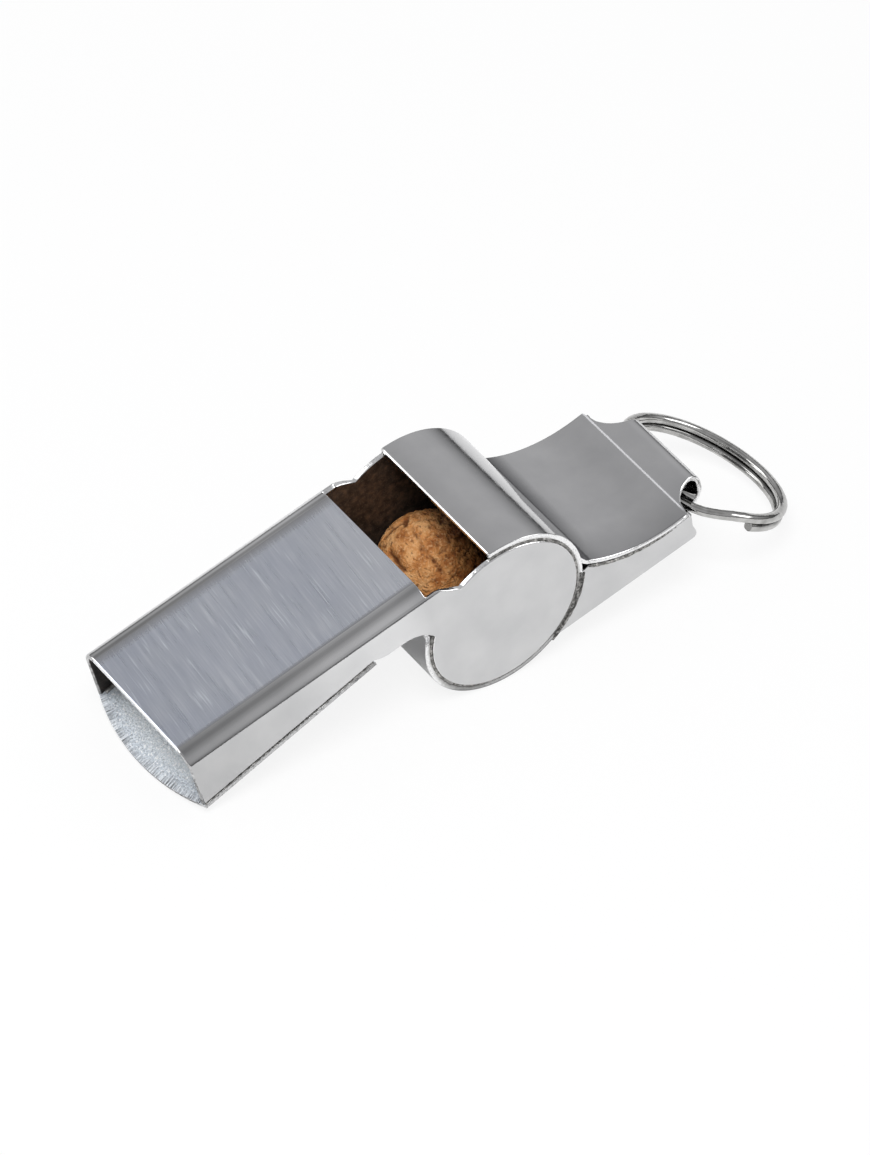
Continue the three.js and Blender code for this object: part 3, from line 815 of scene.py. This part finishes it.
seat_radius = BARREL_RADIUS + BRAZING_GAP
nose_angle = -FLANGE_FOOT - GUSSET_NOSE
foot_angle = math.degrees(math.asin(BOTTOM_LEVEL / seat_radius))
gusset_foot = on_circle(seat_radius, foot_angle)
under_radius = SCOOP_RADIUS + SHEET + BRAZING_GAP
nose_x = on_circle(seat_radius + SHEET, nose_angle)[0] + SHEET
nose_turn = -math.degrees(math.acos((nose_x - scoop_centre.x) / under_radius))
gusset_nose = scoop_centre + Vector(on_circle(under_radius, nose_turn))
for side, hand in ((1, "left"), (-1, "right")):
    bm = new_sheet()
    start = bm.verts.new((gusset_foot[0], side * GUSSET_HALF, gusset_foot[1]))
    point = pen_arc(bm, start, 0, 0, nose_angle - foot_angle)
    point = pen_line(bm, point, *gusset_nose)
    point = pen_arc(bm, point, *scoop_centre, crease_turn - nose_turn)
    point = pen_line(bm, point, GUSSET_TOP_REAR, tongue_level(GUSSET_TOP_REAR) - SHEET - BRAZING_GAP)
    point = pen_line(bm, point, *GUSSET_WAIST)
    point = pen_line(bm, point, GUSSET_REAR, GUSSET_HEEL)
    corner = pen_line(bm, point, GUSSET_REAR, BOTTOM_LEVEL)
    bm.edges.new((corner, start))
    bmesh.ops.contextual_create(bm, geom=bm.edges[:])
    round_corners(bm, [corner], GUSSET_CORNER, segments=6)
    bm.normal_update()
    if bm.faces[:][0].normal.y * side < 0:
        bmesh.ops.reverse_faces(bm, faces=bm.faces[:])
    round_rim(bm, share=0.4)
    gusset = new_piece("gusset_" + hand, bm, [polished_steel, tumbled_edge])
    give_thickness(gusset, rim=1)
    soften_edges(gusset)
    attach(gusset, "whistle")
    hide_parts("tail_side_" + hand)

# Tail seams: brazing beads in the corner between each gusset and the barrel's rim, and along the gusset's top
# under the scoop's edge, thinning out to the rear. The corner beads and the rim smears take a darker copy of
# the pitted brazing as painted shade.
BEAD_PLACE = 9.2
BEAD_SIZE = 0.23
BEAD_STANDOFF = BEAD_SIZE * 0.7
BEAD_FOOT = 3
SMEAR_RADIUS = 9.7
SMEAR_PLACE = 9.33
SMEAR_ENDS = (-62, -12)
SCOOP_BEAD = BEAD_SIZE * 0.8
SCOOP_STANDOFF = 0.16
SEAM_SINK = 0.03
SEAM_SINK_X = 15.3

bead_radius = seat_radius + BEAD_STANDOFF
scoop_bead_radius = under_radius + SCOOP_STANDOFF
# Painted shade: a darker copy of the pitted brazing.
shaded_brazing = lumpy("shaded_brazing", 0.04, 0.13, 0.5)
for side, hand in ((1, "left"), (-1, "right")):
    bm = curved_bead(BEAD_SIZE, bead_radius, side * BEAD_PLACE, (0, 0), foot_angle + BEAD_FOOT, nose_angle)
    seam = new_piece("tail_brazing_" + hand, bm, [shaded_brazing])
    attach(seam, "whistle")
    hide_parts("tail_seam_" + hand)
    bm = curved_bead(BEAD_SIZE, SMEAR_RADIUS, side * SMEAR_PLACE, (0, 0), *SMEAR_ENDS)
    seam = new_piece("rim_brazing_" + hand, bm, [shaded_brazing])
    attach(seam, "whistle")
    bm = curved_bead(SCOOP_BEAD, scoop_bead_radius, side * GUSSET_HALF, scoop_centre, nose_turn, crease_turn)
    for v in bm.verts:
        v.co.y -= side * SEAM_SINK * max(0, v.co.x - SEAM_SINK_X)
    seam = new_piece("scoop_brazing_" + hand, bm, [brazing])
    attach(seam, "whistle")

# Pea: a ball turned from natural cork, loose in the barrel, with pores, pits and a few cracks.
# The turned skin is orange-brown and the pores are dark, with painted shade deepening the pores and cracks.
# It crumbles towards the rear, and painted shade darkens it there.
PEA_RADIUS = 6.1
PEA_GAP = 0.1
PEA_SIDESTEP = 2.85
PEA_FINENESS = 6
CRACKS = (
    ((-0.45, 0.6, 0.66), (-0.04, 0.53, 0.85), 0.6, 0.3),
    ((-0.04, 0.53, 0.85), (-0.08, 0.4, 0.91), 0.5, 0.26),
    ((-0.09, 0.24, 0.97), (-0.19, -0.54, 0.82), 0.19, 0.24),
    ((-0.19, -0.54, 0.82), (-0.15, -0.77, 0.63), 0.22, 0.26),
    ((-0.6, 0.2, 0.77), (-0.62, -0.25, 0.74), 0.4, 0.3),
    ((0.35, -0.02, 0.93), (0.5, 0.1, 0.86), 0.3, 0.2),
    ((0.3, -0.3, 0.9), (0.42, -0.42, 0.8), 0.25, 0.2),
)
CRACK_WANDER = 0.35
CRACK_KINKS = 7
CRUMBLED_SIDE = Vector((1.3, 0, 0.5))
CRUMBLED_SHARE = 0.1
CRUMBLED_WANDER = 0.5
CRUMBLED_SPOTS = 2.3
PORE_SIZE = 0.5
PORE_DEPTH = 0.9
PORE_THRESHOLD = 0.52
PORES_WHERE_CRUMBLED = 0.45
HOLLOW_SIZE = 1.9
HOLLOW_DEPTH = 0.22
HOLLOW_SHIFT = Vector((3, 1, 7))
CRUMB_SIZE = 0.45
CRUMB_DEPTH = 0.05
CRUMBS_WHERE_CRUMBLED = 0.12
SHADED_CRUMBLED_REAR = (-0.6, 2.8)
PORE = "pore_depth"

cork = new_finish("natural_cork", (0.55, 0.28, 0.11), 0, 0.85)
place = whistle_place(cork)
cells = even_grain(place, 3.5, 5)
patches = even_grain(place, 0.5, 4)
flecks = grain(place, (2.2, 1.2, 2.2), 2)
skin = tones(patches, (0.36, (0.38, 0.13, 0.035)), (0.5, (0.68, 0.3, 0.1)), (0.62, (0.84, 0.45, 0.19)))
grained = layer(spread(cells, 0.0, 0.7, 0.5, 0.7), skin, (0.92, 0.55, 0.27))
flecked = layer(spread(flecks, 0.0, 0.75, 0.58, 0.68), grained, (0.2, 0.065, 0.02))
sides = split(place)
# Painted shade, with darker crumbled cork, darkens the rear.
rear = plus(plus(sides["X"], times(patches, 3)), times(sides["Y"], -0.5))
shaded_and_crumbled = layer(spread(rear, 0.0, 0.9, *SHADED_CRUMBLED_REAR), flecked, (0.34, 0.27, 0.18), "MULTIPLY")
# Dark pores, and painted shade deepening with depth in the pores and cracks.
depth = cork.node_tree.nodes.new("ShaderNodeAttribute")
depth.attribute_name = PORE
pores_and_shade = layer(spread(depth.outputs["Fac"], 0.0, 0.92, 0.06, 0.32), shaded_and_crumbled, (0.13, 0.045, 0.015))
paint(pores_and_shade, spread(cells, 0.95, 0.7))
relief(cells, 320)


def crack_depth(way, start, end, depth, width):
    start = Vector(start).normalized()
    end = Vector(end).normalized()
    if way.dot(start + end) <= 0:
        return 0
    across = start.cross(end).normalized()
    along = max(-start.cross(way).dot(across), -way.cross(end).dot(across), 0) * PEA_RADIUS
    aside = way.dot(across) * PEA_RADIUS + CRACK_WANDER * noise.noise(way * CRACK_KINKS)
    return depth * math.exp(-(aside ** 2 + along ** 2) / width ** 2)


lowest = on_circle(CHAMBER_RADIUS - PEA_GAP - PEA_RADIUS, -90 - math.degrees(tip))
bm = bmesh.new()
pore_depth = bm.verts.layers.float.new(PORE)
bmesh.ops.create_icosphere(bm, subdivisions=PEA_FINENESS, radius=PEA_RADIUS)
for v in bm.verts:
    way = v.co.normalized()
    wander = CRUMBLED_WANDER * noise.noise(way * CRUMBLED_SPOTS)
    crumbled = min(1, max(0, CRUMBLED_SIDE.dot(way) + CRUMBLED_SHARE + wander))
    opened = noise.noise(v.co / PORE_SIZE) - PORE_THRESHOLD + PORES_WHERE_CRUMBLED * crumbled
    pores = max(0, opened) * PORE_DEPTH
    hollows = max(0, noise.noise(v.co / HOLLOW_SIZE + HOLLOW_SHIFT)) * HOLLOW_DEPTH
    cracks = sum(crack_depth(way, *crack) for crack in CRACKS)
    crumb_depth = CRUMB_DEPTH + CRUMBS_WHERE_CRUMBLED * crumbled
    crumbs = crumb_depth * (1 + noise.noise(v.co / CRUMB_SIZE))
    v[pore_depth] = pores + cracks
    v.co -= way * (pores + hollows + cracks + crumbs)
move_all(bm, (lowest[0], PEA_SIDESTEP, lowest[1]))
pea = new_piece("cork_pea", bm, [cork])
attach(pea, "pea")
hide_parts("pea")

# Split ring: one spring-steel wire rolled nearly round, wound almost twice and nickel plated. The ends of
# both turns show either side of the crossover, and painted shade darkens the groove between the turns.
RING_RADIUS = 9.305
RING_PLACE = Vector((30.669, 0, -13.348))
RING_DROOP = math.radians(45)
WIRE_WIDTH = 1.14
WIRE_HEIGHT = 0.95
WIRE_ROUNDING = 0.4
TURN_PITCH = 0.97
LOWER_END = -95
CROSSOVER_START = -140
CROSSOVER_END = -102
CROSSOVER_CURVE = ((0.25, 0.16), (0.5, 0.68), (0.25, 0.16))
CROSSOVER_SIDE = (-5, -3)
CROSSOVER_FRONT = (30, 31)
GROOVE = (0.08, 0.34)

ring_axis = Vector((math.sin(RING_DROOP), 0, math.cos(RING_DROOP)))
plated_wire = new_finish("nickel_plated_wire", (0.66, 0.655, 0.64), 1, 0.08)
place = whistle_place(plated_wire)
smears = even_grain(place, 0.7)
rubs = even_grain(place, 5)
plate_tone = tones(smears, (0.3, (0.36, 0.357, 0.345)), (0.5, (0.48, 0.477, 0.465)),
                   (0.7, (0.62, 0.615, 0.6)))
rubbed = layer(spread(rubs, 0.0, 0.4, 0.64, 0.78), plate_tone, (0.25, 0.246, 0.235))
sides = split(place)
along_axis = plus(times(sides["X"], ring_axis.x), times(sides["Z"], ring_axis.z))
from_groove = combine("ABSOLUTE", combine("SUBTRACT", along_axis, RING_PLACE.dot(ring_axis)))
at_crossover = times(spread(sides["Y"], 1.0, 0.0, *CROSSOVER_SIDE),
                     spread(sides["X"], 1.0, 0.0, *CROSSOVER_FRONT))
# Painted shade darkens the groove between the turns, except at the crossover.
groove_shade = times(spread(from_groove, 0.9, 0.0, *GROOVE), combine("SUBTRACT", 1, at_crossover))
paint(layer(groove_shade, rubbed, grey(0.35), "MULTIPLY"), spread(smears, 0.04, 0.12))
relief(smears, 15)

crossing = CROSSOVER_END - CROSSOVER_START
stretches = [(360 + CROSSOVER_START - LOWER_END, 0)]
stretches += [(crossing * share, rise) for share, rise in CROSSOVER_CURVE]
stretches += [(360 - crossing, 0)]

bm = bmesh.new()
bmesh.ops.create_grid(bm, x_segments=1, y_segments=1, size=0.5)
bmesh.ops.scale(bm, verts=bm.verts[:], vec=(WIRE_WIDTH, WIRE_HEIGHT, 1))
round_corners(bm, bm.verts[:], WIRE_ROUNDING, segments=6)
turn_all(bm, "X", math.radians(90))
move_all(bm, (RING_RADIUS, 0, -TURN_PITCH / 2))
turn_all(bm, "Z", math.radians(LOWER_END))
wire_end = everything(bm)
for degrees, rise in stretches:
    steps = math.ceil(degrees / ARC_STEP)
    turned = bmesh.ops.spin(bm, geom=wire_end, cent=(0, 0, 0), axis=(0, 0, 1), angle=math.radians(degrees),
                            dvec=(0, 0, rise * TURN_PITCH / steps), steps=steps)
    wire_end = turned["geom_last"]
bmesh.ops.recalc_face_normals(bm, faces=bm.faces[:])
for face in bm.faces:
    if len(face.verts) > 4:
        for edge in face.edges:
            edge.smooth = False
turn_all(bm, "Y", RING_DROOP)
move_all(bm, RING_PLACE)
ring = new_piece("ring", bm, [plated_wire])
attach(ring, "split_ring")
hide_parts("split_ring")

# White table and soft light: a large white sheet under a plain grey room, darker at the horizon and overhead.
# One broad lamp stands above the camera. One behind the mouth and one beyond the tail draw the bright edges.
TABLE_SIZE = 6
SEEN_WHITE = 0.86
MIRRORED_WHITE = 0.12
ROOM = ((0, 0.04), (0.045, 0.13), (0.157, 0.33), (0.27, 0.44), (0.375, 0.52), (0.5, 0.55), (0.7, 0.54),
        (0.8, 0.5), (0.9, 0.42), (0.96, 0.37), (0.985, 0.31), (1, 0.3))
ROOM_TINT = (1, 1, 1.02)
DOORWAY_FOOT = (0.42, 0.6)
DOORWAY_HEAD = (0.72, 0.8)
DOORWAY_HALF = (0.1, 0.2)
DOORWAY_DARKNESS = 0.45

bm = bmesh.new()
bmesh.ops.create_grid(bm, x_segments=1, y_segments=1, size=TABLE_SIZE / 2)
table_mesh = bpy.data.meshes.new("table")
bm.to_mesh(table_mesh)
bm.free()
table = bpy.data.objects.new("table", table_mesh)
bpy.context.scene.collection.objects.link(table)
white_sheet = new_finish("white_sheet", grey(0.9), 0, 0.8)
tree = white_sheet.node_tree
shader = tree.nodes["Principled BSDF"]
shader.inputs["Specular IOR Level"].default_value = 0
glow = tree.nodes.new("ShaderNodeEmission")
path = tree.nodes.new("ShaderNodeLightPath")
seen = times(path.outputs["Is Camera Ray"], SEEN_WHITE)
mirrored = times(path.outputs["Is Glossy Ray"], MIRRORED_WHITE)
mix = tree.nodes.new("ShaderNodeMixShader")
tree.links.new(combine("MAXIMUM", seen, mirrored), mix.inputs[0])
tree.links.new(shader.outputs[0], mix.inputs[1])
tree.links.new(glow.outputs[0], mix.inputs[2])
tree.links.new(mix.outputs[0], tree.nodes["Material Output"].inputs["Surface"])
table_mesh.materials.append(white_sheet)

room = bpy.data.worlds.new("room")
bpy.context.scene.world = room
room.use_nodes = True
tree = room.node_tree
direction = split(tree.nodes.new("ShaderNodeTexCoord").outputs["Generated"])
room_stops = [(height, tuple(level * share for share in ROOM_TINT)) for height, level in ROOM]
walls = tones(direction["Z"], *room_stops)
upright = times(spread(direction["Z"], 0.0, 1.0, *DOORWAY_FOOT),
                spread(direction["Z"], 1.0, 0.0, *DOORWAY_HEAD))
sideways = spread(combine("ABSOLUTE", direction["X"]), DOORWAY_DARKNESS, 0.0, *DOORWAY_HALF)
doorway = times(times(upright, sideways), combine("GREATER_THAN", direction["Y"]))
tree.links.new(layer(doorway, walls, grey(0)), tree.nodes["Background"].inputs["Color"])


def add_lamp(name, place, size, power, mirrored):
    light = bpy.data.lights.new(name, "AREA")
    light.size = size
    light.energy = power
    lamp = bpy.data.objects.new(name, light)
    lamp.location = place
    lamp.rotation_euler = (-lamp.location).to_track_quat("-Z", "Y").to_euler()
    lamp.visible_glossy = mirrored
    lamp.visible_diffuse = not mirrored
    bpy.context.scene.collection.objects.link(lamp)


add_lamp("broad_lamp", (-0.29, -0.22, 0.71), size=0.35, power=4.7, mirrored=False)
add_lamp("edge_lamp", (-0.7, 0.56, 0.44), size=0.75, power=4.5, mirrored=True)
add_lamp("ring_lamp", (0.71, -0.35, 0.565), size=0.5, power=3, mirrored=True)

# Camera at the photograph's angle: from the mouth's right-hand side, well above, and slightly rolled.
# It stands far back with a long lens. Its distance and aim are metres in the shared frame.
AZIMUTH = math.radians(-39.954)
ELEVATION = math.radians(42.725)
ROLL = math.radians(6.109)
DISTANCE = 0.7
AIM = (-0.003498, -0.00016, 0.008474)
FOCAL_PIXELS = 6771
PHOTO_WIDTH = 870
SENSOR_WIDTH = 36
FARTHEST_SEEN = 20

lens = bpy.data.cameras.new("camera")
lens.sensor_fit = "HORIZONTAL"
lens.sensor_width = SENSOR_WIDTH
lens.lens = FOCAL_PIXELS * SENSOR_WIDTH / PHOTO_WIDTH
lens.clip_end = FARTHEST_SEEN
camera = bpy.data.objects.new("camera", lens)
level_view = Matrix.Rotation(AZIMUTH, 4, "Z") @ Matrix.Rotation(math.radians(90) - ELEVATION, 4, "X")
stand_back = Matrix.Rotation(ROLL, 4, "Z") @ Matrix.Translation((0, 0, DISTANCE))
camera.matrix_world = Matrix.Translation(AIM) @ level_view @ stand_back
bpy.context.scene.collection.objects.link(camera)
bpy.context.scene.camera = camera
bpy.context.scene.view_settings.view_transform = "Standard"
